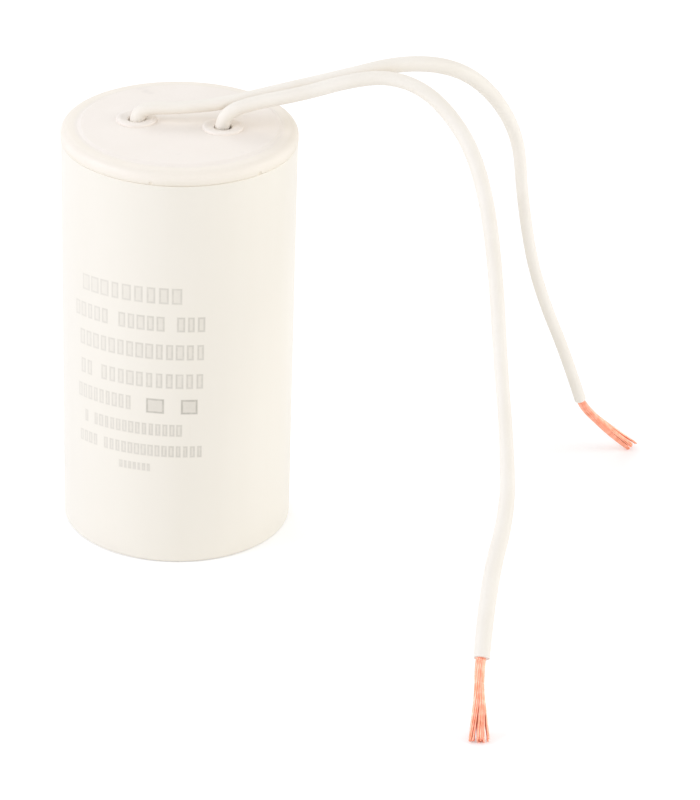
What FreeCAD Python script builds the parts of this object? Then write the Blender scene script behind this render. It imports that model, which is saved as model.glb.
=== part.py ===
import FreeCAD
import Part
import math
import os

# A round motor-run capacitor: a white plastic can with a lid, a wound film element potted inside it,
# and two insulated flying leads that leave the lid and end in stripped, stranded copper.
# Millimetres. Z is the can's axis, the can stands on z = 0, and the two lead exits lie on the X axis.

V = FreeCAD.Vector
UP = V(0, 0, 1)
AXIS_FOOT = V(0, 0, 0)

# Case
case_height = 73.3
lid_radius = 20.0
lid_skirt = 2.7
lid_shoulder = 1.4
lid_plate = 1.7
lid_overhang = 0.1
can_draft = 0.3
can_wall = 1.4
can_floor = 1.6
base_edge = 0.6
inner_corner = 1.2
seam_edge = 0.18

# Lid top: a raised disc inside a lower outer band
lid_band = 3.4
disc_rise = 0.3
disc_slope = 0.6
disc_edge = 0.15

# Lid spigot, which plugs into the can
spigot_depth = 3.0
spigot_wall = 1.5
spigot_clear = 0.15
spigot_edge = 0.3

# Lead exits: a low collar whose crest falls gently inwards to the bore
lead_pitch = 14.8
collar_radius = 3.45
collar_rise = 0.5
collar_crest = 0.8
collar_round = 0.4
crest_round = 1.5
dish_depth = 0.3
bore_radius = 1.65
bore_edge = 0.15
exit_lean = 0.3

# Leads
lead_diameter = 2.4
conductor_diameter = 1.5
exit_rise = 0.6

# Wound element, from the axis outwards
core_bore = 2.5
core_wall = 1.5
wrap_thickness = 0.5
contact_thickness = 0.6
resin_round_element = 1.2
room_under_element = 5.4
room_over_element = 9.0
resin_below_spigot = 0.4

# Inner ends of the leads
tail_bend = 3.0
tail_drop = 2.7
tail_over_core = 2.0
bare_top = 3.4
bare_drop = 2.4
bare_reach = 8.4
solder_radius = 2.6
solder_proud = 0.3
solder_hang = 1.8
solder_inset = 0.4

# Stripped strands at each far end: one in the middle and six round it, fanned out sideways
strand_diameter = 0.5
strand_gap = 0.02
strand_count_round = 6
strand_knee = 2.5
strand_fan = 0.18
strand_lift = 0.03

# Sizes that follow from the ones above
rim_z = case_height - lid_skirt
lid_under = case_height - lid_plate
can_radius = lid_radius - lid_overhang
disc_radius = lid_radius - lid_band
exit_x = lead_pitch / 2
lead_radius = lead_diameter / 2
conductor_radius = conductor_diameter / 2
core_radius = core_bore + core_wall
cavity_mouth = can_radius - can_wall
cavity_foot = cavity_mouth - can_draft
element_radius = cavity_foot - resin_round_element
winding_radius = element_radius - wrap_thickness
element_foot = can_floor + room_under_element
element_top = lid_under - room_over_element
resin_top = rim_z - spigot_depth - resin_below_spigot

# Routes of the leads: x, y and the height over the lid while they cross and leave it,
# then x, y and the height over the floor on their way down
rear_over_lid = [(-5.9, 0.7, 2.2), (-1.0, 1.9, 2.1), (6.5, 4.1, 2.6), (16.0, 5.8, 5.1),
                 (26.0, 8.1, 7.6), (36.0, 10.0, 10.5), (44.5, 13.5, 9.1)]
rear_to_floor = [(50.5, 17.2, 76.8), (54.5, 20.7, 67.5), (55.2, 24.0, 55.5), (57.0, 27.3, 42.0),
                 (59.5, 30.3, 32.0), (63.5, 33.5, 20.5), (66.2, 36.2, 10.9)]
front_over_lid = [(8.5, 0.9, 2.8), (12.4, 2.2, 4.1), (20.5, 3.8, 5.9), (27.5, 5.5, 8.1),
                  (34.0, 6.4, 9.2), (40.2, 5.7, 7.9), (45.6, 3.0, 4.5)]
front_to_floor = [(50.2, -0.9, 72.8), (53.7, -6.5, 65.1), (56.4, -14.1, 55.6), (58.6, -22.4, 46.1),
                  (61.3, -31.0, 36.0), (63.0, -39.3, 27.3), (61.3, -48.0, 18.5), (61.9, -56.7, 9.8)]

# Where the middle strand of each stripped end touches the floor: x and y
front_landing = (63.4, -66.3)
rear_landing = (75.4, 41.0)


def rounded_path(points, radii, closed=False):
    # straight runs joined by tangent arcs; a radius of None is as large as the two runs allow
    count = len(points)
    edges, arcs = [], []
    first, last = (0, count) if closed else (1, count - 1)
    reached = None if closed else points[0]
    start = None
    for i in range(first, last):
        here, before, after = points[i], points[i - 1], points[(i + 1) % count]
        back, ahead = before - here, after - here
        shorter = min(back.Length, ahead.Length)
        turn = math.pi - back.getAngle(ahead)
        radius = radii[i]
        if radius is None:
            radius = 0.45 * shorter / math.tan(turn / 2)
        if radius == 0:
            entry = leave = here
        else:
            reach = radius * math.tan(turn / 2)
            back.normalize()
            ahead.normalize()
            entry, leave = here + back * reach, here + ahead * reach
            inward = (back + ahead).normalize()
            middle = here + inward * (radius / math.cos(turn / 2) - radius)
            arcs.append((math.degrees(turn), radius))
        if reached is None:
            start = entry
        elif reached.distanceToPoint(entry) > 1e-7:
            edges.append(Part.LineSegment(reached, entry).toShape())
        if radius != 0:
            edges.append(Part.Arc(entry, middle, leave).toShape())
        reached = leave
    end = start if closed else points[-1]
    if reached.distanceToPoint(end) > 1e-7:
        edges.append(Part.LineSegment(reached, end).toShape())
    return Part.Wire(edges), arcs


def turned(outline, centre=AXIS_FOOT):
    # a solid of revolution from (radius, height, corner radius) rows
    points = [V(r, 0, z) for r, z, corner in outline]
    wire, arcs = rounded_path(points, [corner for r, z, corner in outline], closed=True)
    solid = Part.Face(wire).revolve(AXIS_FOOT, UP, 360)
    solid.translate(centre)
    return solid


def disc(radius, foot, top, x=0, y=0):
    return Part.makeCylinder(radius, top - foot, V(x, y, foot))


def ring(outer, inner, foot, top):
    return disc(outer, foot, top).cut(disc(inner, foot, top))


def swept(points, radius, corner=None):
    # a round rod or tube along straight runs and tangent arcs
    path, arcs = rounded_path(points, [corner] * len(points))
    section = Part.Wire(Part.makeCircle(radius, points[0], points[1] - points[0]))
    return path.makePipeShell([section], True, True), path, arcs


def can_cavity(top):
    # the space inside the can up to a given height
    radius_at_top = cavity_foot + can_draft * (top - can_floor) / (rim_z - can_floor)
    return turned([(0, can_floor, 0), (cavity_foot, can_floor, inner_corner), (radius_at_top, top, 0),
                   (0, top, 0)])


def make_can():
    body = turned([(0, 0, 0), (can_radius - can_draft, 0, base_edge), (can_radius, rim_z, seam_edge),
                   (0, rim_z, 0)])
    return body.cut(can_cavity(rim_z))


def make_lid():
    spigot_radius = cavity_mouth - spigot_clear
    spigot_bore = spigot_radius - spigot_wall
    spigot_foot = rim_z - spigot_depth
    band_z = case_height - disc_rise
    lid = turned([(0, lid_under, 0), (spigot_bore, lid_under, spigot_edge), (spigot_bore, spigot_foot, 0),
                  (spigot_radius, spigot_foot, spigot_edge), (spigot_radius, rim_z, 0),
                  (lid_radius, rim_z, seam_edge), (lid_radius, band_z, lid_shoulder),
                  (disc_radius + disc_slope, band_z, disc_edge), (disc_radius, case_height, disc_edge),
                  (0, case_height, 0)])
    for side in (-1, 1):
        crest_z = case_height + collar_rise
        crest_radius = collar_radius - collar_crest
        collar = turned([(bore_radius, lid_under, 0), (collar_radius, lid_under, 0),
                         (collar_radius, crest_z, collar_round), (crest_radius, crest_z, crest_round),
                         (bore_radius, crest_z - dish_depth, bore_edge)], V(side * exit_x, 0, 0))
        bore = disc(bore_radius, lid_under, case_height, side * exit_x)
        lid = lid.cut(bore).fuse(collar)
    return lid.removeSplitter()


def make_solder(x, y, face, downwards):
    # a dome of solder on an end contact, round the bare end of a lead
    if downwards:
        dome = Part.makeSphere(solder_radius, V(x, y, face - solder_hang))
        keep = disc(2 * solder_radius, face - 3 * solder_radius, face, x, y)
    else:
        dome = Part.makeSphere(solder_radius, V(x, y, face + solder_proud))
        keep = disc(2 * solder_radius, face, face + 3 * solder_radius, x, y)
    return dome.common(keep)


def lead_points(side, over_lid, to_floor):
    # up through the bore first, then along the hand-chosen route
    points = [V(side * exit_x, exit_lean, lid_under), V(side * exit_x, exit_lean, case_height + exit_rise)]
    points += [V(x, y, case_height + z) for x, y, z in over_lid]
    return points + [V(x, y, z) for x, y, z in to_floor]


def make_strands(points, landing):
    # strands packed side by side in the insulation's end, bent together, then fanned out to the floor
    end = points[-1]
    along = (end - points[-2]).normalize()
    across = along.cross(UP).normalize()
    upward = across.cross(along)
    knee = end + along * strand_knee
    aim = (V(landing[0], landing[1], strand_diameter / 2) - knee).normalize()
    mitre = (along + aim).normalize()
    lay = strand_diameter + strand_gap
    seats = [V(0, 0, 0)]
    for i in range(strand_count_round):
        angle = 2 * math.pi * (i + 0.5) / strand_count_round
        seats.append(across * (lay * math.cos(angle)) + upward * (lay * math.sin(angle)))
    solids = []
    for seat in seats:
        root = end + seat
        bend = root + along * ((knee - root).dot(mitre) / along.dot(mitre))
        sideways, lifted = seat.dot(across), seat.dot(upward)
        heading = aim + across * (strand_fan * sideways) + upward * (strand_lift * lifted)
        tip = bend + heading * ((strand_diameter / 2 - bend.z) / heading.z)
        solids.append(swept([root, bend, tip], strand_diameter / 2)[0])
    return Part.makeCompound(solids)


def check_route(name, solid, path, arcs):
    # the tube's volume against its section times its length, and the bend radii
    ideal = math.pi * lead_radius ** 2 * path.Length
    print(name, "length %.1f mm, volume ratio %.5f" % (path.Length, solid.Volume / ideal))
    print("  turns and radii:", ", ".join("%.0f deg %.1f mm" % arc for arc in arcs))


def make_leads(nodes):
    routes = {
        "rear_lead": (lead_points(-1, rear_over_lid, rear_to_floor), rear_landing),
        "front_lead": (lead_points(1, front_over_lid, front_to_floor), front_landing),
    }
    for name, (points, landing) in routes.items():
        solid, path, arcs = swept(points, lead_radius)
        check_route(name, solid, path, arcs)
        nodes[name] = solid
        nodes[name + "_strands"] = make_strands(points, landing)


def make_tails(nodes):
    # the rear lead is joined to the top contact, the front one goes down the core to the bottom contact
    left, right, lean = -exit_x, exit_x, exit_lean
    bare_foot = element_top + bare_top
    nodes["rear_lead_tail"] = disc(lead_radius, bare_foot, lid_under, left, lean)
    nodes["rear_lead_bare_end"] = disc(conductor_radius, element_top, bare_foot, left, lean)
    down_core = [V(right, lean, lid_under), V(right, lean, lid_under - tail_drop),
                 V(0, 0, element_top + tail_over_core), V(0, 0, element_foot)]
    nodes["front_lead_tail"] = swept(down_core, lead_radius, tail_bend)[0]
    reach_z = element_foot - bare_drop
    under_contact = [V(0, 0, element_foot), V(0, 0, reach_z), V(bare_reach, 0, reach_z)]
    nodes["front_lead_bare_end"] = swept(under_contact, conductor_radius, conductor_diameter)[0]
    nodes["top_solder_joint"] = make_solder(left, lean, element_top, False).cut(nodes["rear_lead_bare_end"])
    nodes["bottom_solder_joint"] = make_solder(bare_reach - solder_inset, 0, element_foot, True).cut(
        nodes["front_lead_bare_end"])


def make_element(nodes):
    film_foot = element_foot + contact_thickness
    film_top = element_top - contact_thickness
    nodes["winding_core"] = ring(core_radius, core_bore, element_foot, element_top)
    nodes["film_winding"] = ring(winding_radius, core_radius, film_foot, film_top)
    nodes["outer_wrap"] = ring(element_radius, winding_radius, element_foot, element_top)
    nodes["bottom_end_contact"] = ring(winding_radius, core_radius, element_foot, film_foot)
    nodes["top_end_contact"] = ring(winding_radius, core_radius, film_top, element_top)


def make_resin(nodes):
    resin = can_cavity(resin_top).cut(disc(element_radius, element_foot, element_top))
    for name in ("top_solder_joint", "bottom_solder_joint", "rear_lead_tail", "rear_lead_bare_end",
                 "front_lead_tail", "front_lead_bare_end"):
        resin = resin.cut(nodes[name])
    return resin


def main():
    nodes = {"can": make_can(), "lid": make_lid()}
    make_element(nodes)
    make_tails(nodes)
    nodes["potting_resin"] = make_resin(nodes)
    make_leads(nodes)
    os.makedirs("parts", exist_ok=True)
    for name, shape in nodes.items():
        shape.exportStep("parts/" + name + ".step")
        facts = (name, len(shape.Solids), shape.Volume, shape.isValid())
        print("%-20s %d solid(s) %10.1f mm3 valid %s" % facts)


main()
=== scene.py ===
import bpy
import bmesh
import math
from mathutils import Matrix, Quaternion, Vector


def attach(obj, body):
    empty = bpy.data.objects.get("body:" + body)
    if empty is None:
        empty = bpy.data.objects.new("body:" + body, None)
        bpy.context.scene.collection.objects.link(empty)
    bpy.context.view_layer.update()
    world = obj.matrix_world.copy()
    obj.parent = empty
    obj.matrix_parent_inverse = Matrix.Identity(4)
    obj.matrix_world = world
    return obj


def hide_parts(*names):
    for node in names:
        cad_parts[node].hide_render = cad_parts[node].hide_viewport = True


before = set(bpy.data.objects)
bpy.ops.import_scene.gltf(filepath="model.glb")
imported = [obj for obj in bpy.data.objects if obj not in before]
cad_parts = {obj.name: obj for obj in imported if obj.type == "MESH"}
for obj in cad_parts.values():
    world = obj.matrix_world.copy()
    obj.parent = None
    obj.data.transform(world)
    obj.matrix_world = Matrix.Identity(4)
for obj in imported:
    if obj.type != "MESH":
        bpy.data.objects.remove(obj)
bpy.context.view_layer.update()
print("frame loaded, nodes:", len(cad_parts))

# the pieces are given in millimetres, and mm makes them metres; the camera and the studio are in metres
mm = 0.001


def linkObject(name, data):
    obj = bpy.data.objects.new(name, data)
    bpy.context.scene.collection.objects.link(obj)
    return obj


# Camera: a long lens from a little above, turned so that the exits' line runs down to the right
camera = {
    "place": (0.1342, -0.6459, 0.3568),
    "aim": (0.0350, -0.0298, 0.0400),
    "roll": 1.594,  # degrees
    "lens": 192.23,  # millimetres, as the sensor is
    "sensor": 36.0,
    "nearest": 0.01,
    "furthest": 20,
}


def makeCamera(settings):
    data = bpy.data.cameras.new("camera")
    data.lens = settings["lens"]
    data.sensor_width = settings["sensor"]
    data.clip_start = settings["nearest"]
    data.clip_end = settings["furthest"]
    obj = linkObject("camera", data)
    look = (Vector(settings["aim"]) - Vector(settings["place"])).to_track_quat("-Z", "Y")
    roll = Matrix.Rotation(math.radians(settings["roll"]), 4, "Z")
    obj.matrix_world = Matrix.Translation(settings["place"]) @ look.to_matrix().to_4x4() @ roll
    bpy.context.scene.camera = obj


makeCamera(camera)
print("camera placed")


# Small helpers for shader and geometry trees
numberSocket = "NodeSocketFloat"
vectorSocket = "NodeSocketVector"


def addNode(tree, kind, **values):
    node = tree.nodes.new(kind)
    for name, value in values.items():
        setattr(node, name, value)
    return node


def setInput(tree, node, key, value):
    # a socket is linked, and a plain value is set
    socket = node.inputs[key]
    if isinstance(value, bpy.types.NodeSocket):
        tree.links.new(value, socket)
    else:
        socket.default_value = value


def mathNode(tree, operation, *values):
    node = addNode(tree, "ShaderNodeMath", operation=operation)
    for i, value in enumerate(values):
        setInput(tree, node, i, value)
    return node.outputs[0]


def vectorMath(tree, operation, *values):
    node = addNode(tree, "ShaderNodeVectorMath", operation=operation)
    for i, value in enumerate(values):
        # the number that scales a vector has a socket of its own
        key = "Scale" if operation == "SCALE" and i == 1 else i
        setInput(tree, node, key, value)
    return node.outputs["Value"] if operation == "LENGTH" else node.outputs[0]


def mixColour(tree, factor, first, second, blend="MIX"):
    node = addNode(tree, "ShaderNodeMix", data_type="RGBA", blend_type=blend)
    setInput(tree, node, 0, factor)
    # a Mix node's colours are its inputs 6 and 7 and its output 2
    setInput(tree, node, 6, first)
    setInput(tree, node, 7, second)
    return node.outputs[2]


def remap(tree, value, low, high, toLow, toHigh, kind="LINEAR"):
    node = addNode(tree, "ShaderNodeMapRange", clamp=True, interpolation_type=kind)
    values = {"Value": value, "From Min": low, "From Max": high, "To Min": toLow, "To Max": toHigh}
    for key, number in values.items():
        setInput(tree, node, key, number)
    return node.outputs[0]


def noise(tree, vector, scale, detail, roughness):
    node = addNode(tree, "ShaderNodeTexNoise")
    setInput(tree, node, "Vector", vector)
    setInput(tree, node, "Scale", scale)
    setInput(tree, node, "Detail", detail)
    setInput(tree, node, "Roughness", roughness)
    return node.outputs["Fac"]


def splitVector(tree, vector):
    node = addNode(tree, "ShaderNodeSeparateXYZ")
    setInput(tree, node, 0, vector)
    return node.outputs


def strongest(tree, masks):
    most = masks[0]
    for mask in masks[1:]:
        most = mathNode(tree, "MAXIMUM", most, mask)
    return most


def newGroup(name, inputs, outputs, kind="ShaderNodeTree"):
    tree = bpy.data.node_groups.new(name, kind)
    for label, socket, default in inputs:
        made = tree.interface.new_socket(name=label, in_out="INPUT", socket_type=socket)
        if default is not None:
            made.default_value = default
    for label, socket in outputs:
        tree.interface.new_socket(name=label, in_out="OUTPUT", socket_type=socket)
    return tree, tree.nodes.new("NodeGroupInput").outputs, tree.nodes.new("NodeGroupOutput").inputs


def useGroup(tree, group, **values):
    node = addNode(tree, "ShaderNodeGroup", node_tree=group)
    for key, value in values.items():
        setInput(tree, node, key, value)
    return node.outputs


# Moulded grain: fine pores and slow waves for the bump, and a faint mottle for the colour
grainEffect = {
    # detail and roughness of each noise
    "pores": (3.0, 0.6),
    "waves": (2.0, 0.5),
    # how much of the mottle is waves, the rest being pores
    "waveShare": 0.75,
}


def makeGrainGroup(effect):
    tree, inp, out = newGroup(
        "mouldedGrain",
        [("Vector", vectorSocket, None), ("Pore Scale", numberSocket, 2500.0),
         ("Wave Scale", numberSocket, 90.0), ("Pores", numberSocket, 0.5), ("Waves", numberSocket, 0.5)],
        [("Height", numberSocket), ("Mottle", numberSocket)])
    pores = noise(tree, inp["Vector"], inp["Pore Scale"], *effect["pores"])
    waves = noise(tree, inp["Vector"], inp["Wave Scale"], *effect["waves"])
    poreHeight = mathNode(tree, "MULTIPLY", pores, inp["Pores"])
    waveHeight = mathNode(tree, "MULTIPLY", waves, inp["Waves"])
    tree.links.new(mathNode(tree, "ADD", poreHeight, waveHeight), out["Height"])
    slow = mathNode(tree, "MULTIPLY", waves, effect["waveShare"])
    fine = mathNode(tree, "MULTIPLY", pores, 1 - effect["waveShare"])
    tree.links.new(mathNode(tree, "ADD", slow, fine), out["Mottle"])
    return tree


# Faint scuffs: thin stretched streaks, in patches, that dull the gloss and darken a little
scuffEffect = {
    # detail and roughness of each noise
    "streaks": (4.0, 0.65),
    "patchScale": 45.0,
    "patches": (1.0, 0.5),
    # where in its noise each one starts and where it is full
    "streakEdge": (0.58, 0.72),
    "patchEdge": (0.45, 0.7),
}


def makeScuffGroup(effect):
    tree, inp, out = newGroup(
        "faintScuffs",
        [("Vector", vectorSocket, None), ("Stretch", vectorSocket, (1, 1, 1)),
         ("Scale", numberSocket, 120.0), ("Amount", numberSocket, 0.5)],
        [("Mask", numberSocket)])
    stretched = vectorMath(tree, "MULTIPLY", inp["Vector"], inp["Stretch"])
    streak = noise(tree, stretched, inp["Scale"], *effect["streaks"])
    patch = noise(tree, inp["Vector"], effect["patchScale"], *effect["patches"])
    streak = remap(tree, streak, *effect["streakEdge"], 0.0, 1.0)
    patch = remap(tree, patch, *effect["patchEdge"], 0.0, 1.0)
    mask = mathNode(tree, "MULTIPLY", streak, patch)
    tree.links.new(mathNode(tree, "MULTIPLY", mask, inp["Amount"]), out["Mask"])
    return tree


# A soft rubbed spot with a broken edge, in metres round its middle
smudgeEffect = {
    # scale, detail and roughness of the noise that breaks its edge
    "ragged": (900.0, 3.0, 0.6),
    # where it starts to fade and where it ends, in its radii
    "fade": (0.6, 1.6),
}


def makeSmudgeGroup(effect):
    tree, inp, out = newGroup(
        "softSmudge",
        [("Vector", vectorSocket, None), ("Middle", vectorSocket, (0, 0, 0)),
         ("Radius", numberSocket, 0.001), ("Amount", numberSocket, 0.5)],
        [("Mask", numberSocket)])
    away = vectorMath(tree, "LENGTH", vectorMath(tree, "SUBTRACT", inp["Vector"], inp["Middle"]))
    ragged = mathNode(tree, "MULTIPLY", noise(tree, inp["Vector"], *effect["ragged"]), inp["Radius"])
    away = mathNode(tree, "ADD", away, ragged)
    fadeStart, fadeEnd = (mathNode(tree, "MULTIPLY", inp["Radius"], share) for share in effect["fade"])
    inside = remap(tree, away, fadeStart, fadeEnd, 1.0, 0.0, "SMOOTHSTEP")
    tree.links.new(mathNode(tree, "MULTIPLY", inside, inp["Amount"]), out["Mask"])
    return tree


# One row of plain blocks of uneven width, drawn with a thin line and a weaker fill, in wall millimetres
rowEffect = {
    # half the width of the narrowest and of the widest block, in the blocks' pitch
    "halfWidths": (0.30, 0.42),
    "edge": 0.14,
    # these keep two rows' draws apart, and a block's width apart from whether it is there
    "rowStep": 31.7,
    "widthStep": 0.37,
}


def makeRowGroup(effect):
    tree, inp, out = newGroup(
        "printRow",
        [("Along", numberSocket, 0.0), ("Up", numberSocket, 0.0), ("Height", numberSocket, 0.0),
         ("Half Height", numberSocket, 1.0), ("Start", numberSocket, -5.0), ("End", numberSocket, 5.0),
         ("Blocks", numberSocket, 8.0), ("Gaps", numberSocket, 0.1), ("Line", numberSocket, 0.3),
         ("Fill", numberSocket, 0.4), ("Seed", numberSocket, 0.0), ("Ink", numberSocket, 1.0)],
        [("Mask", numberSocket)])
    pitch = mathNode(tree, "DIVIDE", mathNode(tree, "SUBTRACT", inp["End"], inp["Start"]), inp["Blocks"])
    count = mathNode(tree, "DIVIDE", mathNode(tree, "SUBTRACT", inp["Along"], inp["Start"]), pitch)
    row = mathNode(tree, "MULTIPLY", inp["Seed"], effect["rowStep"])
    cell = mathNode(tree, "ADD", mathNode(tree, "FLOOR", count), row)
    draw = addNode(tree, "ShaderNodeTexWhiteNoise", noise_dimensions="1D")
    setInput(tree, draw, "W", cell)
    present = mathNode(tree, "GREATER_THAN", draw.outputs["Value"], inp["Gaps"])
    widthDraw = addNode(tree, "ShaderNodeTexWhiteNoise", noise_dimensions="1D")
    setInput(tree, widthDraw, "W", mathNode(tree, "ADD", cell, effect["widthStep"]))
    halfWidth = remap(tree, widthDraw.outputs["Value"], 0, 1, *effect["halfWidths"])
    halfWidth = mathNode(tree, "MULTIPLY", pitch, halfWidth)
    # how far a place is outside its block, past the nearest of its sides
    middle = mathNode(tree, "ABSOLUTE", mathNode(tree, "SUBTRACT", mathNode(tree, "FRACT", count), 0.5))
    pastSide = mathNode(tree, "SUBTRACT", mathNode(tree, "MULTIPLY", middle, pitch), halfWidth)
    up = mathNode(tree, "ABSOLUTE", mathNode(tree, "SUBTRACT", inp["Up"], inp["Height"]))
    pastTop = mathNode(tree, "SUBTRACT", up, inp["Half Height"])
    pastStart = mathNode(tree, "SUBTRACT", inp["Start"], inp["Along"])
    pastEnd = mathNode(tree, "SUBTRACT", inp["Along"], inp["End"])
    outside = strongest(tree, [pastSide, pastTop, pastStart, pastEnd])
    block = remap(tree, outside, -effect["edge"], effect["edge"], 1.0, 0.0, "SMOOTHSTEP")
    inner = mathNode(tree, "ADD", outside, inp["Line"])
    inner = remap(tree, inner, -effect["edge"], effect["edge"], 1.0, 0.0, "SMOOTHSTEP")
    paler = mathNode(tree, "MULTIPLY", inner, mathNode(tree, "SUBTRACT", 1.0, inp["Fill"]))
    drawn = mathNode(tree, "MULTIPLY", block, mathNode(tree, "SUBTRACT", 1.0, paler))
    mask = mathNode(tree, "MULTIPLY", mathNode(tree, "MULTIPLY", drawn, present), inp["Ink"])
    tree.links.new(mask, out["Mask"])
    return tree


mouldedGrain = makeGrainGroup(grainEffect)
faintScuffs = makeScuffGroup(scuffEffect)
softSmudge = makeSmudgeGroup(smudgeEffect)
printRow = makeRowGroup(rowEffect)


def newMaterial(name, **principled):
    material = bpy.data.materials.new(name)
    material.use_nodes = True
    tree = material.node_tree
    shader = tree.nodes["Principled BSDF"]
    for key, value in principled.items():
        shader.inputs[key].default_value = value
    return material, tree, shader


def objectPlace(tree):
    return addNode(tree, "ShaderNodeTexCoord").outputs["Object"]


def mottledColour(tree, tone, look):
    low, high, amount = look["mottle"]
    return mixColour(tree, remap(tree, tone, low, high, 0.0, amount), look["light"], look["dark"])


def roughnessFrom(tree, shader, mask, look, low=0.0, high=1.0):
    rough = remap(tree, mask, low, high, look["roughness"], look["dullRoughness"])
    setInput(tree, shader, "Roughness", rough)


def bumpFrom(tree, shader, height, strength, depth):
    bump = addNode(tree, "ShaderNodeBump")
    setInput(tree, bump, "Strength", strength)
    setInput(tree, bump, "Distance", depth * mm)
    setInput(tree, bump, "Height", height)
    setInput(tree, shader, "Normal", bump.outputs[0])


# The can's wall: warm white plastic with faint vertical flow marks and rows of plain pale grey blocks
canLook = {
    "light": (0.897, 0.850, 0.760, 1),
    "dark": (0.875, 0.823, 0.725, 1),
    # where in the grain the dark tone comes in, where it is full, and how strong it is there
    "mottle": (0.35, 0.65, 0.35),
    "roughness": 0.36,
    "dullRoughness": 0.62,
    "grain": {"Pore Scale": 1800.0, "Wave Scale": 70.0, "Pores": 0.15, "Waves": 0.85},
    # strength and depth
    "bump": (0.25, 0.12),
    "scuffs": {"Stretch": (1, 1, 0.12), "Scale": 240.0, "Amount": 0.35},
    # scale, detail and roughness of the flow marks, and how they are drawn out upwards
    "flow": (260.0, 2.0, 0.5),
    "flowStretch": (1, 1, 0.06),
    # the ink is thinner on the left than on the right, and changes between two places along the wall
    "ink": (0.33, 0.30, 0.25, 1),
    "inkLeft": 0.20,
    "inkRight": 0.40,
    "inkChange": (-13.0, 6.0),
    # scale, detail and roughness of its wear, where it is worn and where whole, and the least that is left
    "wear": (900.0, 3.0, 0.7),
    "wearEdge": (0.30, 0.55),
    "leastInk": 0.7,
    # the middle of the rows, in degrees round the wall
    "blockAngle": -101.0,
    "wallRadius": 19.75,
    "lineWidth": 0.3,
    "fill": 0.35,
    # the rows droop towards the left by this much per square millimetre from the place given
    "droop": 0.0036,
    "droopFrom": 6.0,
    # height, half height, start, end, blocks, chance of a gap and ink of each row, in wall millimetres
    "rows": [
        (50.6, 1.45, -10.9, 8.7, 9, 0.0, 0.9), (45.4, 1.35, -13.1, 12.6, 15, 0.12, 1.0),
        (40.2, 1.4, -13.5, 12.5, 15, 0.14, 1.0), (34.8, 1.35, -13.3, 12.4, 15, 0.08, 1.0),
        (30.1, 1.3, -12.3, -0.1, 9, 0.05, 1.0), (30.0, 1.35, 1.9, 6.1, 1, 0.0, 1.7),
        (30.0, 1.35, 7.7, 11.9, 1, 0.0, 1.7), (25.5, 1.1, -10.5, 9.9, 17, 0.12, 1.0),
        (21.5, 1.05, -13.1, 12.2, 21, 0.10, 1.0), (18.2, 0.7, -2.6, 3.3, 7, 0.0, 0.9),
    ],
}


def wallPlace(tree, place, look):
    # the wall unrolled, as millimetres along it from the middle of the rows, and up it
    x, y, z = splitVector(tree, place)
    start = math.radians(look["blockAngle"])
    toX = mathNode(tree, "ADD", mathNode(tree, "MULTIPLY", x, math.cos(start)),
                   mathNode(tree, "MULTIPLY", y, math.sin(start)))
    toY = mathNode(tree, "SUBTRACT", mathNode(tree, "MULTIPLY", y, math.cos(start)),
                   mathNode(tree, "MULTIPLY", x, math.sin(start)))
    along = mathNode(tree, "MULTIPLY", mathNode(tree, "ARCTAN2", toY, toX), look["wallRadius"])
    left = mathNode(tree, "SUBTRACT", along, look["droopFrom"])
    droop = mathNode(tree, "MULTIPLY", mathNode(tree, "MULTIPLY", left, left), look["droop"])
    return along, mathNode(tree, "ADD", mathNode(tree, "MULTIPLY", z, 1 / mm), droop)


def makeCanMaterial(look):
    material, tree, shader = newMaterial("canPlastic", Roughness=look["roughness"])
    place = objectPlace(tree)
    grain = useGroup(tree, mouldedGrain, Vector=place, **look["grain"])
    flow = noise(tree, vectorMath(tree, "MULTIPLY", place, look["flowStretch"]), *look["flow"])
    tone = mathNode(tree, "MULTIPLY", mathNode(tree, "ADD", flow, grain["Mottle"]), 0.5)
    plastic = mottledColour(tree, tone, look)
    along, up = wallPlace(tree, place, look)
    labels = ("Height", "Half Height", "Start", "End", "Blocks", "Gaps", "Ink")
    rows = []
    for seed, numbers in enumerate(look["rows"]):
        row = useGroup(tree, printRow, Along=along, Up=up, Line=look["lineWidth"], Fill=look["fill"],
                       Seed=seed, **dict(zip(labels, numbers)))
        rows.append(row["Mask"])
    blocks = strongest(tree, rows)
    thin = remap(tree, along, *look["inkChange"], look["inkLeft"], look["inkRight"])
    wear = remap(tree, noise(tree, place, *look["wear"]), *look["wearEdge"], look["leastInk"], 1.0)
    ink = mathNode(tree, "MULTIPLY", mathNode(tree, "MULTIPLY", blocks, wear), thin)
    scuffs = useGroup(tree, faintScuffs, Vector=place, **look["scuffs"])["Mask"]
    plastic = mixColour(tree, scuffs, plastic, look["dark"])
    setInput(tree, shader, "Base Color", mixColour(tree, ink, plastic, look["ink"]))
    roughnessFrom(tree, shader, mathNode(tree, "ADD", scuffs, ink), look)
    bumpFrom(tree, shader, grain["Height"], *look["bump"])
    return material


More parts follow.
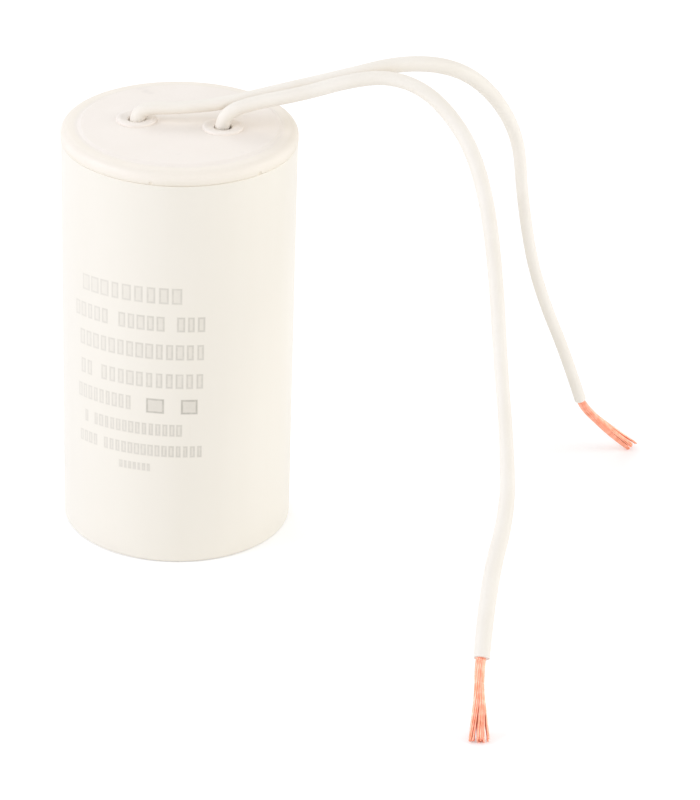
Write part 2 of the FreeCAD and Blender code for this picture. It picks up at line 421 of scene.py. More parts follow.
# The lid: the same plastic with a finer matt finish, a few soft smudges, and painted shade at the disc's
# foot and over the seam
lidLook = {
    "light": (0.927, 0.864, 0.799, 1),
    "dark": (0.897, 0.833, 0.759, 1),
    "mottle": (0.4, 0.62, 0.6),
    "roughness": 0.5,
    "dullRoughness": 0.7,
    "grain": {"Pore Scale": 3200.0, "Wave Scale": 120.0, "Pores": 0.6, "Waves": 0.4},
    "bump": (0.35, 0.10),
    "scuffs": {"Stretch": (1, 0.2, 1), "Scale": 300.0, "Amount": 0.4},
    # the band outside the raised disc is a touch warmer, with a faint line of painted shade at the disc's
    # foot
    "bandTint": (1.0, 0.998, 0.966, 1),
    "bandStart": 17.3,
    "bandFade": 0.6,
    "footShadeColour": (0.84, 0.79, 0.70, 1),
    "footRadius": 17.55,
    "footHalfWidth": 0.65,
    "footShadeAmount": 0.22,
    # painted shade: the skirt's lowest millimetre, over the seam, is painted a little darker and yellower
    "skirtShadeTint": (0.945, 0.94, 0.905, 1),
    "skirtFoot": 70.6,
    "skirtFade": 1.1,
    # x, y, radius and strength of each smudge, all at the height of the disc
    "smudge": (0.72, 0.67, 0.63, 1),
    "smudges": [
        (-9.6, 13.5, 1.3, 0.20), (-8.5, 12.4, 1.1, 0.26), (-7.5, 11.7, 0.8, 0.22), (-8.7, 14.6, 1.0, 0.20),
        (-2.4, 9.0, 0.5, 0.20), (-1.7, 9.5, 0.5, 0.16), (12.5, -9.5, 0.7, 0.14), (2.5, -12.5, 0.6, 0.10),
    ],
    "top": 73.3,
}


def makeLidMaterial(look):
    material, tree, shader = newMaterial("lidPlastic", Roughness=look["roughness"])
    place = objectPlace(tree)
    grain = useGroup(tree, mouldedGrain, Vector=place, **look["grain"])
    scuffs = useGroup(tree, faintScuffs, Vector=place, **look["scuffs"])["Mask"]
    plastic = mottledColour(tree, grain["Mottle"], look)
    plastic = mixColour(tree, scuffs, plastic, look["dark"])
    fromAxis = vectorMath(tree, "LENGTH", vectorMath(tree, "MULTIPLY", place, (1, 1, 0)))
    onBand = remap(tree, fromAxis, look["bandStart"] * mm,
                   (look["bandStart"] + look["bandFade"]) * mm, 0.0, 1.0)
    plastic = mixColour(tree, onBand, plastic, look["bandTint"], "MULTIPLY")
    # painted shade: a faint darker line round the raised disc's foot, where its step lies in shade
    fromFoot = mathNode(tree, "ABSOLUTE", mathNode(tree, "SUBTRACT", fromAxis, look["footRadius"] * mm))
    foot = remap(tree, fromFoot, 0.0, look["footHalfWidth"] * mm, look["footShadeAmount"], 0.0, "SMOOTHSTEP")
    plastic = mixColour(tree, foot, plastic, look["footShadeColour"])
    # painted shade: the skirt darkens towards the seam below it
    seamShade = remap(tree, splitVector(tree, place)[2], look["skirtFoot"] * mm,
                    (look["skirtFoot"] + look["skirtFade"]) * mm, 1.0, 0.0)
    plastic = mixColour(tree, seamShade, plastic, look["skirtShadeTint"], "MULTIPLY")
    marks = []
    for x, y, radius, amount in look["smudges"]:
        mark = useGroup(tree, softSmudge, Vector=place, Middle=(x * mm, y * mm, look["top"] * mm),
                        Radius=radius * mm, Amount=amount)
        marks.append(mark["Mask"])
    smudged = strongest(tree, marks)
    setInput(tree, shader, "Base Color", mixColour(tree, smudged, plastic, look["smudge"]))
    roughnessFrom(tree, shader, mathNode(tree, "ADD", scuffs, smudged), look)
    bumpFrom(tree, shader, grain["Height"], *look["bump"])
    return material


# The leads' soft insulation
leadLook = {
    "light": (0.922, 0.875, 0.800, 1),
    "dark": (0.885, 0.831, 0.745, 1),
    "mottle": (0.38, 0.62, 0.7),
    "roughness": 0.60,
    "dullRoughness": 0.75,
    "grain": {"Pore Scale": 2600.0, "Wave Scale": 150.0, "Pores": 0.35, "Waves": 0.65},
    "bump": (0.4, 0.08),
    "scuffs": {"Stretch": (1, 1, 0.4), "Scale": 400.0, "Amount": 0.5},
}


def makeLeadMaterial(look):
    material, tree, shader = newMaterial("leadInsulation", Roughness=look["roughness"])
    place = objectPlace(tree)
    grain = useGroup(tree, mouldedGrain, Vector=place, **look["grain"])
    scuffs = useGroup(tree, faintScuffs, Vector=place, **look["scuffs"])["Mask"]
    skin = mottledColour(tree, grain["Mottle"], look)
    setInput(tree, shader, "Base Color", mixColour(tree, scuffs, skin, look["dark"]))
    roughnessFrom(tree, shader, scuffs, look)
    bumpFrom(tree, shader, grain["Height"], *look["bump"])
    return material


# Bare copper strands, bright with duller drawn streaks
copperLook = {
    "light": (1.0, 0.505, 0.375, 1),
    "dark": (0.87, 0.365, 0.23, 1),
    "mottle": (0.38, 0.66, 1.0),
    "roughness": 0.36,
    "dullRoughness": 0.5,
    "dullEdge": (0.3, 0.7),
    "grain": {"Pore Scale": 5200.0, "Wave Scale": 900.0, "Pores": 0.4, "Waves": 0.6},
    "bump": (0.3, 0.03),
}


def makeCopperMaterial(look):
    material, tree, shader = newMaterial("bareCopper", Metallic=1.0, Roughness=look["roughness"])
    grain = useGroup(tree, mouldedGrain, Vector=objectPlace(tree), **look["grain"])
    setInput(tree, shader, "Base Color", mottledColour(tree, grain["Mottle"], look))
    roughnessFrom(tree, shader, grain["Mottle"], look, *look["dullEdge"])
    bumpFrom(tree, shader, grain["Height"], *look["bump"])
    return material


canPlastic = makeCanMaterial(canLook)
lidPlastic = makeLidMaterial(lidLook)
leadInsulation = makeLeadMaterial(leadLook)
bareCopper = makeCopperMaterial(copperLook)
print("materials made")


# Finishes of what lies inside the can: its two tones, the scales and depth of its grain, and how many
# rings to a metre show on what is rolled
innerLooks = {
    "windingFilm": {"light": (0.72, 0.73, 0.75, 1), "dark": (0.52, 0.53, 0.56, 1), "metallic": 0.85,
                    "roughness": 0.28, "pores": 3000.0, "waves": 60.0, "depth": 0.02, "turns": 5200.0},
    "wrapFilm": {"light": (0.86, 0.84, 0.76, 1), "dark": (0.78, 0.75, 0.64, 1), "metallic": 0.0,
                 "roughness": 0.30, "pores": 1500.0, "waves": 50.0, "depth": 0.03, "turns": 900.0},
    "corePlastic": {"light": (0.85, 0.85, 0.83, 1), "dark": (0.76, 0.76, 0.73, 1), "metallic": 0.0,
                    "roughness": 0.45, "pores": 2200.0, "waves": 90.0, "depth": 0.05, "turns": 0.0},
    "sprayedZinc": {"light": (0.62, 0.62, 0.61, 1), "dark": (0.36, 0.36, 0.37, 1), "metallic": 0.9,
                    "roughness": 0.62, "pores": 1600.0, "waves": 500.0, "depth": 0.15, "turns": 0.0},
    "solderTin": {"light": (0.78, 0.78, 0.77, 1), "dark": (0.58, 0.58, 0.58, 1), "metallic": 1.0,
                  "roughness": 0.25, "pores": 2600.0, "waves": 420.0, "depth": 0.05, "turns": 0.0},
    "pottingResin": {"light": (0.62, 0.52, 0.36, 1), "dark": (0.50, 0.40, 0.25, 1), "metallic": 0.0,
                     "roughness": 0.22, "pores": 900.0, "waves": 60.0, "depth": 0.06, "turns": 0.0},
}
# what they have in common
innerGrain = {
    "poreShare": 0.5,
    "mottle": (0.35, 0.65),
    "dullEdge": (0.3, 0.7),
    "dullBy": 0.2,
    "ringShare": 0.5,
    "bumpStrength": 0.4,
}
innerFinishes = {
    "film_winding": "windingFilm",
    "outer_wrap": "wrapFilm",
    "winding_core": "corePlastic",
    "top_end_contact": "sprayedZinc",
    "bottom_end_contact": "sprayedZinc",
    "top_solder_joint": "solderTin",
    "bottom_solder_joint": "solderTin",
    "potting_resin": "pottingResin",
    "rear_lead_tail": "leadInsulation",
    "front_lead_tail": "leadInsulation",
    "rear_lead_bare_end": "bareCopper",
    "front_lead_bare_end": "bareCopper",
}


def makeInnerMaterial(name, look, common):
    material, tree, shader = newMaterial(name, Metallic=look["metallic"], Roughness=look["roughness"])
    place = objectPlace(tree)
    sizes = {"Pore Scale": look["pores"], "Wave Scale": look["waves"]}
    grain = useGroup(tree, mouldedGrain, Vector=place, Pores=common["poreShare"],
                     Waves=1 - common["poreShare"], **sizes)
    tone = remap(tree, grain["Mottle"], *common["mottle"], 0.0, 1.0)
    height = grain["Height"]
    if look["turns"]:
        # the roll's layers show as fine rings round the axis
        radius = vectorMath(tree, "LENGTH", vectorMath(tree, "MULTIPLY", place, (1, 1, 0)))
        rings = mathNode(tree, "SINE", mathNode(tree, "MULTIPLY", radius, look["turns"] * 2 * math.pi))
        rings = remap(tree, rings, -1.0, 1.0, 0.0, common["ringShare"])
        tone = mathNode(tree, "ADD", mathNode(tree, "MULTIPLY", tone, 1 - common["ringShare"]), rings)
        height = mathNode(tree, "ADD", height, rings)
    setInput(tree, shader, "Base Color", mixColour(tree, tone, look["light"], look["dark"]))
    duller = look["roughness"] + common["dullBy"]
    rough = remap(tree, grain["Mottle"], *common["dullEdge"], look["roughness"], duller)
    setInput(tree, shader, "Roughness", rough)
    bumpFrom(tree, shader, height, common["bumpStrength"], look["depth"])
    return material


innerMaterials = {name: makeInnerMaterial(name, look, innerGrain) for name, look in innerLooks.items()}
innerMaterials["leadInsulation"] = leadInsulation
innerMaterials["bareCopper"] = bareCopper
for nodeName, finish in innerFinishes.items():
    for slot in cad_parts[nodeName].material_slots:
        slot.material = innerMaterials[finish]
print("inner parts finished:", len(innerFinishes))


# The two leads, each a NURBS line through the air from its exit to its stripped end
rearLead = {
    "name": "rear_lead_cord",
    "node": "rear_lead",
    "strandNode": "rear_lead_strands",
    "route": [
        (-7.4, 0.15, 71.6), (-7.4, 0.15, 73.8), (-5.9, 0.2, 75.5), (-0.75, 0.7, 75.7), (6.7, 3.2, 76.2),
        (16.15, 5.1, 78.7), (26.1, 7.65, 81.1), (36.0, 10.0, 83.8), (44.5, 13.5, 82.4), (50.5, 17.2, 76.8),
        (54.75, 21.0, 67.4), (55.5, 23.1, 55.9), (57.2, 26.5, 42.4), (59.65, 29.8, 32.2),
        (63.6, 33.5, 20.5), (66.2, 36.2, 10.9),
    ],
    # how full the insulation is at each point of the route, 1 being its stated diameter
    "fullness": [
        1.12, 1.10, 0.95, 0.86, 0.92, 1.02, 1.05, 1.08, 1.12, 1.04, 0.92, 0.87, 0.84, 0.86, 0.86, 0.86,
    ],
    "exit": (-7.4, 0.3, 73.5),
    "length": 137.0,
    "diameter": 2.4,
    # radius of the bundle of strands, how far on it runs straight, and how far it is pushed aside there
    "bundle": 0.68,
    "knee": 2.6,
    "bow": (-0.15, -0.42, -0.5),
    # where the low, middle and high tufts of strands end, in plan, and over the floor
    "tufts": [(75.15, 39.7), (75.55, 40.15), (76.35, 41.05)],
    "heights": (0.12, 0.64, 0.70),
    # where the bundle splits across itself, in its radii, and how far that line is turned from level
    "split": (-0.30, 0.58),
    "splitTurn": 75.0,
    # how far along the bundle the tufts part, how suddenly, and how much each one spreads
    "fanStart": 0.40,
    "parting": 0.9,
    "spread": 0.04,
    "strandSeed": 3,
}
frontLead = {
    "name": "front_lead_cord",
    "node": "front_lead",
    "strandNode": "front_lead_strands",
    "route": [
        (7.1, 0.4, 71.6), (7.1, 0.4, 73.9), (8.5, 0.4, 76.3), (12.6, 1.15, 77.85), (20.7, 2.9, 79.6),
        (27.6, 4.95, 81.65), (34.0, 6.4, 82.5), (40.2, 5.7, 81.2), (45.6, 3.0, 77.8), (50.2, -0.9, 72.8),
        (53.7, -6.5, 65.1), (56.4, -14.1, 55.6), (58.6, -22.4, 46.1), (61.3, -31.0, 36.0),
        (63.0, -39.3, 27.3), (61.3, -48.0, 18.5), (61.9, -56.7, 9.8),
    ],
    "fullness": [
        1.04, 1.03, 1.0, 1.0, 1.0, 1.02, 1.0, 0.98, 1.06, 1.08, 1.06, 1.02, 0.98, 0.91, 1.10, 1.20, 1.12,
    ],
    "exit": (7.4, 0.3, 73.5),
    "length": 138.0,
    "diameter": 2.4,
    "bundle": 0.76,
    "knee": 2.5,
    "bow": (-0.55, 0.0, 0.0),
    "tufts": [(62.05, -66.7), (63.6, -66.75), (64.75, -66.2)],
    "heights": (0.12, 0.12, 0.12),
    "split": (-0.35, 0.66),
    "splitTurn": 0.0,
    "fanStart": 0.38,
    "parting": 1.9,
    "spread": 0.62,
    "strandSeed": 8,
}
# rings between two points of a route, and how round the insulation is
leadMesh = {
    "steps": 16,
    "roundness": 8,
}


def makeLead(lead):
    curve = bpy.data.curves.new(lead["name"], "CURVE")
    curve.dimensions = "3D"
    curve.bevel_depth = lead["diameter"] / 2 * mm
    curve.bevel_resolution = leadMesh["roundness"]
    curve.resolution_u = leadMesh["steps"]
    curve.use_fill_caps = True
    spline = curve.splines.new("NURBS")
    spline.points.add(len(lead["route"]) - 1)
    for point, place, full in zip(spline.points, lead["route"], lead["fullness"]):
        point.co = (*(v * mm for v in place), 1)
        point.radius = full
    spline.order_u = 3
    spline.use_endpoint_u = True
    curve.materials.append(leadInsulation)
    return linkObject(lead["name"], curve)


leadObjects = [makeLead(lead) for lead in (rearLead, frontLead)]
print("leads laid")


# How the case is turned, and the degrees below which a bend in its surface is smooth
turning = {
    "segments": 256,
    "arcSteps": 10,
    "onAxis": 1e-6,
    "mergeWithin": 0.002,
    "smoothBelow": 28,
}


def roundedOutline(rows, steps):
    # corner points with the rounded ones turned into arcs
    outline = []
    count = len(rows)
    for i, (r, z, corner) in enumerate(rows):
        here = Vector((r, z))
        back = Vector(rows[i - 1][:2]) - here
        ahead = Vector(rows[(i + 1) % count][:2]) - here
        if corner == 0:
            outline.append(here)
            continue
        half = back.angle(ahead) / 2
        reach = corner / math.tan(half)
        start = here + back.normalized() * reach
        end = here + ahead.normalized() * reach
        centre = here + (back.normalized() + ahead.normalized()).normalized() * (corner / math.sin(half))
        first = start - centre
        last = end - centre
        sweep = first.angle_signed(last)
        for step in range(steps + 1):
            spoke = first.copy()
            spoke.rotate(Matrix.Rotation(-sweep * step / steps, 2))
            outline.append(centre + spoke)
    return outline


def turnedMesh(name, rows, segments, steps, centreX=0.0):
    # an outline that starts and ends on its axis, turned into a closed shape
    bm = bmesh.new()
    rings = []
    for point in roundedOutline(rows, steps):
        if point.x < turning["onAxis"]:
            rings.append([bm.verts.new((centreX * mm, 0, point.y * mm))])
            continue
        ring = []
        for k in range(segments):
            a = 2 * math.pi * k / segments
            x = (centreX + point.x * math.cos(a)) * mm
            y = point.x * math.sin(a) * mm
            ring.append(bm.verts.new((x, y, point.y * mm)))
        rings.append(ring)
    for low, high in zip(rings, rings[1:]):
        for k in range(segments):
            n = (k + 1) % segments
            if len(low) == 1:
                bm.faces.new((low[0], high[n], high[k]))
            elif len(high) == 1:
                bm.faces.new((low[k], low[n], high[0]))
            else:
                bm.faces.new((low[k], low[n], high[n], high[k]))
    bmesh.ops.recalc_face_normals(bm, faces=bm.faces)
    mesh = bpy.data.meshes.new(name)
    bm.to_mesh(mesh)
    bm.free()
    return mesh


def smoothByAngle(mesh):
    # doubles merged, then sharp edges where the surface turns by more than the angle, smooth elsewhere
    bm = bmesh.new()
    bm.from_mesh(mesh)
    bmesh.ops.remove_doubles(bm, verts=bm.verts, dist=turning["mergeWithin"] * mm)
    limit = math.radians(turning["smoothBelow"])
    for edge in bm.edges:
        edge.smooth = len(edge.link_faces) == 2 and edge.calc_face_angle(0) < limit
    for face in bm.faces:
        face.smooth = True
    bm.to_mesh(mesh)
    bm.free()


# The can: each row of an outline is a radius, a height and the rounding of that corner
canShape = {
    "outline": [
        (0, 0, 0), (19.6, 0, 0.6), (19.9, 70.6, 0.2), (18.5, 70.6, 0), (18.2, 1.6, 1.2), (0, 1.6, 0),
    ],
}


def makeCan():
    mesh = turnedMesh("can_shell", canShape["outline"], turning["segments"], turning["arcSteps"])
    smoothByAngle(mesh)
    mesh.materials.append(canPlastic)
    return linkObject("can_shell", mesh)


# The lid, with a collar and a bore round each exit, and two tiny chips in its lower edge
lidShape = {
    "outline": [
        (0, 71.6, 0), (16.85, 71.6, 0.3), (16.85, 67.6, 0), (18.35, 67.6, 0.3), (18.35, 70.6, 0),
        (20.0, 70.6, 0.33), (20.0, 73.0, 1.4), (17.2, 73.0, 0.15), (16.6, 73.3, 0.15), (0, 73.3, 0),
    ],
    "collar": [
        (0, 71.8, 0), (3.45, 71.8, 0), (3.45, 73.8, 0.4), (2.65, 73.8, 1.5), (1.2, 73.36, 0), (0, 73.36, 0),
    ],
    "bore": [
        (0, 70.0, 0), (1.5, 70.0, 0), (1.5, 73.3, 0.3), (1.8, 73.75, 0), (1.8, 75.0, 0), (0, 75.0, 0),
    ],
    "exitX": 7.4,
    "exitSteps": 8,
    # the bore has fewer sides than its collar, so that their edges cross cleanly
    "collarSegments": 96,
    "boreSegments": 70,
    # angle round the axis, height and radius of each chip, how far out its middle is, and how fine it is
    "chips": [(-91.8, 70.85, 0.45), (-36.6, 70.85, 0.50)],
    "chipReach": 20.16,
    "chipDetail": 3,
}


def chipMesh(angle, height, radius):
    turn = math.radians(angle)
    reach = lidShape["chipReach"] * mm
    middle = (reach * math.cos(turn), reach * math.sin(turn), height * mm)
    bm = bmesh.new()
    bmesh.ops.create_icosphere(bm, subdivisions=lidShape["chipDetail"], radius=radius * mm)
    bmesh.ops.translate(bm, verts=bm.verts, vec=middle)
    mesh = bpy.data.meshes.new("chip")
    bm.to_mesh(mesh)
    bm.free()
    return mesh


def addBoolean(obj, mesh, operation):
    other = linkObject(mesh.name, mesh)
    modifier = obj.modifiers.new(mesh.name, "BOOLEAN")
    modifier.object = other
    modifier.operation = operation
    modifier.solver = "EXACT"
    return other


def applyModifiers(obj):
    evaluated = obj.evaluated_get(bpy.context.evaluated_depsgraph_get())
    mesh = bpy.data.meshes.new_from_object(evaluated)
    obj.modifiers.clear()
    obj.data = mesh
    return mesh


def makeLid():
    mesh = turnedMesh("lid_cover", lidShape["outline"], turning["segments"], turning["arcSteps"])
    obj = linkObject("lid_cover", mesh)
    others = []
    for side in (-1, 1):
        x = side * lidShape["exitX"]
        steps = lidShape["exitSteps"]
        bore = turnedMesh("bore", lidShape["bore"], lidShape["boreSegments"], steps, x)
        collar = turnedMesh("collar", lidShape["collar"], lidShape["collarSegments"], steps, x)
        others.append(addBoolean(obj, collar, "UNION"))
        others.append(addBoolean(obj, bore, "DIFFERENCE"))
    for chip in lidShape["chips"]:
        others.append(addBoolean(obj, chipMesh(*chip), "DIFFERENCE"))
    mesh = applyModifiers(obj)
    for other in others:
        bpy.data.objects.remove(other)
    smoothByAngle(mesh)
    mesh.materials.clear()
    mesh.materials.append(lidPlastic)
    return obj


canObject = makeCan()
lidObject = makeLid()
print("case made, lid faces:", len(lidObject.data.polygons))


# Bare strands: one tree lays a bundle along a guide line, twists it and splits it into three tufts
strands = {
    "count": 66,
    "radius": 0.12,
    "sides": 10,
    "twist": 1.1,
    "raggedness": 0.04,
    # radians round the bundle from one strand to the next, the golden angle, which fills it evenly
    "turnBetween": 2.39996,
    # how late the strands of a tuft spread along it, 1 being evenly
    "fanPower": 1.25,
    # how far the strands stray, how quickly along them, and how far apart their noise is drawn
    "wobble": 0.4,
    "wobbleScale": 140.0,
    "wobbleStep": 7.3,
    # points of the guide line, and how far inside the insulation it starts
    "guideSteps": 26,
    "inset": 1.0,
}


def makeStrandTree():
    tree, inp, out = newGroup(
        "strandBundle",
        [("Geometry", "NodeSocketGeometry", None), ("Count", "NodeSocketInt", 19),
         ("Strand Radius", numberSocket, 0.0001), ("Bundle Radius", numberSocket, 0.0006),
         ("Twist", numberSocket, 1.0), ("Wobble", numberSocket, 0.0001), ("Raggedness", numberSocket, 0.05),
         ("Spread", numberSocket, 0.3), ("Fan Start", numberSocket, 0.3), ("Parting", numberSocket, 1.2),
         ("Low Split", numberSocket, -0.4), ("High Split", numberSocket, 0.5),
         ("Low Tuft", vectorSocket, (0, 0, 0)), ("High Tuft", vectorSocket, (0, 0, 0)),
         ("Seed", "NodeSocketInt", 1), ("Across", vectorSocket, (1, 0, 0)),
         ("Material", "NodeSocketMaterial", None)],
        [("Geometry", "NodeSocketGeometry")], "GeometryNodeTree")
    guide = addNode(tree, "GeometryNodeMeshToCurve")
    tree.links.new(inp["Geometry"], guide.inputs[0])
    copies = addNode(tree, "GeometryNodeDuplicateElements", domain="SPLINE")
    tree.links.new(guide.outputs[0], copies.inputs["Geometry"])
    tree.links.new(inp["Count"], copies.inputs["Amount"])
    index = copies.outputs["Duplicate Index"]
    # keep each copy's number on its points, because the later steps lose it
    store = addNode(tree, "GeometryNodeStoreNamedAttribute", data_type="FLOAT", domain="CURVE")
    tree.links.new(copies.outputs["Geometry"], store.inputs["Geometry"])
    setInput(tree, store, "Name", "strand")
    setInput(tree, store, "Value", index)
    # the strands end at uneven lengths
    ragged = addNode(tree, "FunctionNodeRandomValue", data_type="FLOAT")
    lowest, highest = [s for s in ragged.inputs if s.type == "VALUE"][:2]
    lowest.default_value = 0.0
    highest.default_value = 1.0
    setInput(tree, ragged, "ID", index)
    setInput(tree, ragged, "Seed", inp["Seed"])
    randomFloat = [s for s in ragged.outputs if s.type == "VALUE"][0]
    shorter = mathNode(tree, "SUBTRACT", 1.0, mathNode(tree, "MULTIPLY", randomFloat, inp["Raggedness"]))
    trim = addNode(tree, "GeometryNodeTrimCurve", mode="FACTOR")
    tree.links.new(store.outputs["Geometry"], trim.inputs["Curve"])
    setInput(tree, trim, "End", shorter)
    named = addNode(tree, "GeometryNodeInputNamedAttribute", data_type="FLOAT")
    setInput(tree, named, "Name", "strand")
    strand = named.outputs["Attribute"]
    along = addNode(tree, "GeometryNodeSplineParameter").outputs["Factor"]
    # a strand's seat at the tips decides its tuft, and the bundle twists back from there
    tipAngle = mathNode(tree, "MULTIPLY", strand, strands["turnBetween"])
    untwist = mathNode(tree, "MULTIPLY", inp["Twist"], mathNode(tree, "SUBTRACT", along, 1.0))
    angle = mathNode(tree, "ADD", tipAngle, untwist)
    share = mathNode(tree, "DIVIDE", mathNode(tree, "ADD", strand, 0.5), inp["Count"])
    ratio = mathNode(tree, "SQRT", share)
    seat = mathNode(tree, "MULTIPLY", ratio, inp["Bundle Radius"])
    tipSide = mathNode(tree, "MULTIPLY", mathNode(tree, "COSINE", tipAngle), ratio)
    low = mathNode(tree, "LESS_THAN", tipSide, inp["Low Split"])
    high = mathNode(tree, "GREATER_THAN", tipSide, inp["High Split"])
    middle = mathNode(tree, "SUBTRACT", mathNode(tree, "SUBTRACT", 1.0, low), high)
    # each tuft's own middle across the bundle, which comes to rest on that tuft's place
    lowMiddle = mathNode(tree, "MULTIPLY", mathNode(tree, "SUBTRACT", inp["Low Split"], 1.0), 0.5)
    highMiddle = mathNode(tree, "MULTIPLY", mathNode(tree, "ADD", inp["High Split"], 1.0), 0.5)
    midMiddle = mathNode(tree, "MULTIPLY", mathNode(tree, "ADD", inp["Low Split"], inp["High Split"]), 0.5)
    middles = mathNode(tree, "MULTIPLY", low, lowMiddle)
    middles = mathNode(tree, "ADD", middles, mathNode(tree, "MULTIPLY", high, highMiddle))
    middles = mathNode(tree, "ADD", middles, mathNode(tree, "MULTIPLY", middle, midMiddle))
    middles = mathNode(tree, "MULTIPLY", middles, inp["Bundle Radius"])
    fan = remap(tree, along, inp["Fan Start"], 1.0, 0.0, 1.0)
    apart = mathNode(tree, "POWER", fan, inp["Parting"])
    fan = mathNode(tree, "POWER", fan, strands["fanPower"])
    wider = mathNode(tree, "ADD", 1.0, mathNode(tree, "MULTIPLY", fan, inp["Spread"]))
    side = mathNode(tree, "MULTIPLY", mathNode(tree, "COSINE", angle), seat)
    side = mathNode(tree, "SUBTRACT", side, mathNode(tree, "MULTIPLY", middles, apart))
    side = mathNode(tree, "MULTIPLY", side, wider)
    lift = mathNode(tree, "MULTIPLY", mathNode(tree, "SINE", angle), seat)
    heading = vectorMath(tree, "SCALE", inp["Low Tuft"], low)
    heading = vectorMath(tree, "ADD", heading, vectorMath(tree, "SCALE", inp["High Tuft"], high))
    tangent = addNode(tree, "GeometryNodeInputTangent").outputs[0]
    upward = vectorMath(tree, "NORMALIZE", vectorMath(tree, "CROSS_PRODUCT", tangent, inp["Across"]))
    position = addNode(tree, "GeometryNodeInputPosition").outputs[0]
    # each strand strays a little by noise of its own, more so towards its tip
    step = mathNode(tree, "ADD", mathNode(tree, "MULTIPLY", strand, strands["wobbleStep"]), inp["Seed"])
    seeded = vectorMath(tree, "ADD", vectorMath(tree, "SCALE", position, strands["wobbleScale"]), step)
    wave = addNode(tree, "ShaderNodeTexNoise")
    setInput(tree, wave, "Vector", seeded)
    setInput(tree, wave, "Scale", 1.0)
    shake = vectorMath(tree, "SUBTRACT", wave.outputs["Color"], (0.5, 0.5, 0.5))
    shake = vectorMath(tree, "SCALE", shake, mathNode(tree, "MULTIPLY", inp["Wobble"], fan))
    offset = vectorMath(tree, "ADD", vectorMath(tree, "SCALE", inp["Across"], side),
                        vectorMath(tree, "SCALE", upward, lift))
    offset = vectorMath(tree, "ADD", offset, vectorMath(tree, "SCALE", heading, apart))
    offset = vectorMath(tree, "ADD", offset, shake)
    # no strand goes below the floor
    x, y, z = splitVector(tree, vectorMath(tree, "ADD", position, offset))
    rested = addNode(tree, "ShaderNodeCombineXYZ")
    for i, value in enumerate((x, y, mathNode(tree, "MAXIMUM", z, inp["Strand Radius"]))):
        setInput(tree, rested, i, value)
    move = addNode(tree, "GeometryNodeSetPosition")
    tree.links.new(trim.outputs[0], move.inputs["Geometry"])
    tree.links.new(rested.outputs[0], move.inputs["Position"])
    profile = addNode(tree, "GeometryNodeCurvePrimitiveCircle", mode="RADIUS")
    setInput(tree, profile, "Resolution", strands["sides"])
    setInput(tree, profile, "Radius", inp["Strand Radius"])
    tube = addNode(tree, "GeometryNodeCurveToMesh")
    tree.links.new(move.outputs[0], tube.inputs["Curve"])
    tree.links.new(profile.outputs[0], tube.inputs["Profile Curve"])
    setInput(tree, tube, "Fill Caps", True)
    realized = addNode(tree, "GeometryNodeRealizeInstances")
    tree.links.new(tube.outputs[0], realized.inputs[0])
    painted = addNode(tree, "GeometryNodeSetMaterial")
    tree.links.new(realized.outputs[0], painted.inputs["Geometry"])
    tree.links.new(inp["Material"], painted.inputs["Material"])
    tree.links.new(painted.outputs[0], out["Geometry"])
    return tree


def setModifierInput(modifier, label, value):
    for item in modifier.node_group.interface.items_tree:
        if item.item_type == "SOCKET" and item.in_out == "INPUT" and item.name == label:
            modifier[item.identifier] = value


def strandGuide(lead):
    # from just inside the insulation's end, straight out, then bending towards the middle tuft's place
    end = Vector(lead["route"][-1])
    along = (end - Vector(lead["route"][-2])).normalized()
    start = end - along * strands["inset"]
    knee = end + along * lead["knee"] + Vector(lead["bow"])
    tip = Vector((*lead["tufts"][1], lead["heights"][1]))
    points = []
    for i in range(strands["guideSteps"] + 1):
        t = i / strands["guideSteps"]
        points.append((start * (1 - t) ** 2 + knee * 2 * t * (1 - t) + tip * t ** 2) * mm)
    across = Vector((end.y - tip.y, tip.x - end.x, 0)).normalized()
    across.rotate(Quaternion(tip - end, math.radians(lead["splitTurn"])))
    return points, across


def makeStrands(lead, tree):
    points, across = strandGuide(lead)
    name = lead["node"] + "_copper"
    mesh = bpy.data.meshes.new(name)
    mesh.from_pydata(points, [(i, i + 1) for i in range(len(points) - 1)], [])
    obj = linkObject(name, mesh)
    modifier = obj.modifiers.new("strands", "NODES")
    modifier.node_group = tree
    low, middle, high = (Vector((*plan, height)) for plan, height in zip(lead["tufts"], lead["heights"]))
    values = {
        "Count": strands["count"],
        "Strand Radius": strands["radius"] * mm,
        "Bundle Radius": lead["bundle"] * mm,
        "Twist": strands["twist"],
        "Wobble": strands["wobble"] * mm,
        "Raggedness": strands["raggedness"],
        "Spread": lead["spread"],
        "Fan Start": lead["fanStart"],
        "Parting": lead["parting"],
        "Low Split": lead["split"][0],
        "High Split": lead["split"][1],
        "Low Tuft": (low - middle) * mm,
        "High Tuft": (high - middle) * mm,
        "Seed": lead["strandSeed"],
        "Across": across,
        "Material": bareCopper,
    }
    for label, value in values.items():
        setModifierInput(modifier, label, value)
    for face in applyModifiers(obj).polygons:
        face.use_smooth = True
    return obj


strandTree = makeStrandTree()
strandObjects = [makeStrands(lead, strandTree) for lead in (rearLead, frontLead)]
print("strands made, faces:", [len(o.data.polygons) for o in strandObjects])


# Studio: a white floor, a soft even sky, a weak key from behind, and lamps at the sides and in front
studio = {
    "floorSize": 6.0,
    "floorColour": (0.91, 0.91, 0.91, 1),
    "floorRoughness": 0.9,
    "floorGlow": 0.22,
    "sky": 0.68,
    "aim": (0.0, 0.0, 0.04),
    # name, azimuth, elevation, distance, width, height, power and colour of each lamp
    "lamps": [
        ("keyLamp", 118.0, 34.0, 1.10, 0.45, 0.45, 1.45, (1, 1, 1)),
        ("leftLamp", 206.0, 24.0, 1.20, 0.60, 0.45, 4.75, (0.96, 1.0, 1.15)),
        ("rightLamp", 7.0, 22.0, 1.10, 0.60, 0.45, 3.0, (1, 1, 1)),
        ("frontLamp", -62.0, 18.0, 1.40, 0.70, 0.45, 2.2, (1, 1, 1)),
    ],
}


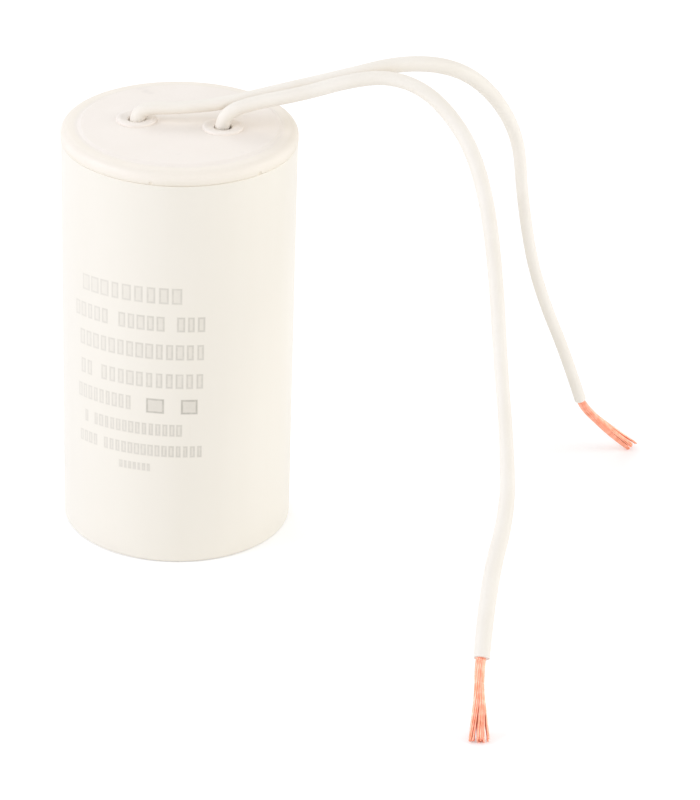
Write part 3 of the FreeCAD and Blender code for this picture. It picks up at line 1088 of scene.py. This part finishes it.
def seenDirectly(tree):
    # 1 for the camera, also in a mirror or through glass, and 0 for the light that reaches the object
    rays = addNode(tree, "ShaderNodeLightPath").outputs
    mirrored = mathNode(tree, "MAXIMUM", rays["Is Glossy Ray"], rays["Is Transmission Ray"])
    return mathNode(tree, "MAXIMUM", rays["Is Camera Ray"], mirrored)


def makeFloor():
    half = studio["floorSize"] / 2
    corners = [(-half, -half, 0), (half, -half, 0), (half, half, 0), (-half, half, 0)]
    mesh = bpy.data.meshes.new("floor")
    mesh.from_pydata(corners, [], [(0, 1, 2, 3)])
    floor = linkObject("floor", mesh)
    material, tree, shader = newMaterial("floorPaper", Roughness=studio["floorRoughness"])
    setInput(tree, shader, "Base Color", studio["floorColour"])
    setInput(tree, shader, "Specular IOR Level", 0.0)
    setInput(tree, shader, "Emission Color", (1, 1, 1, 1))
    glow = mathNode(tree, "MULTIPLY", seenDirectly(tree), studio["floorGlow"])
    setInput(tree, shader, "Emission Strength", glow)
    mesh.materials.append(material)


def makeSky():
    world = bpy.context.scene.world or bpy.data.worlds.new("studio")
    bpy.context.scene.world = world
    world.use_nodes = True
    tree = world.node_tree
    tree.nodes.clear()
    # the camera sees pure white, and the object gets the weaker sky
    rest = mathNode(tree, "MULTIPLY", seenDirectly(tree), 1 - studio["sky"])
    background = addNode(tree, "ShaderNodeBackground")
    setInput(tree, background, "Color", (1, 1, 1, 1))
    setInput(tree, background, "Strength", mathNode(tree, "ADD", studio["sky"], rest))
    output = addNode(tree, "ShaderNodeOutputWorld")
    tree.links.new(background.outputs[0], output.inputs["Surface"])


def makeLamps():
    aim = Vector(studio["aim"])
    for name, azimuth, elevation, distance, width, height, power, colour in studio["lamps"]:
        data = bpy.data.lights.new(name, "AREA")
        data.shape = "RECTANGLE"
        data.size = width
        data.size_y = height
        data.energy = power
        data.color = colour
        turn = math.radians(azimuth)
        rise = math.radians(elevation)
        outward = Vector((math.cos(rise) * math.cos(turn), math.cos(rise) * math.sin(turn), math.sin(rise)))
        lamp = linkObject(name, data)
        look = (-outward).to_track_quat("-Z", "Y")
        lamp.matrix_world = Matrix.Translation(aim + outward * distance) @ look.to_matrix().to_4x4()


makeFloor()
makeSky()
makeLamps()
bpy.context.scene.view_settings.view_transform = "Standard"
print("studio lit")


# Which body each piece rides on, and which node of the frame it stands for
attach(canObject, "root")
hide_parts("can")
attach(lidObject, "root")
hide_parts("lid")
for lead, cord, bundle in zip((rearLead, frontLead), leadObjects, strandObjects):
    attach(cord, "root")
    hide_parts(lead["node"])
    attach(bundle, "root")
    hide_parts(lead["strandNode"])

print("pieces fitted to the frame")
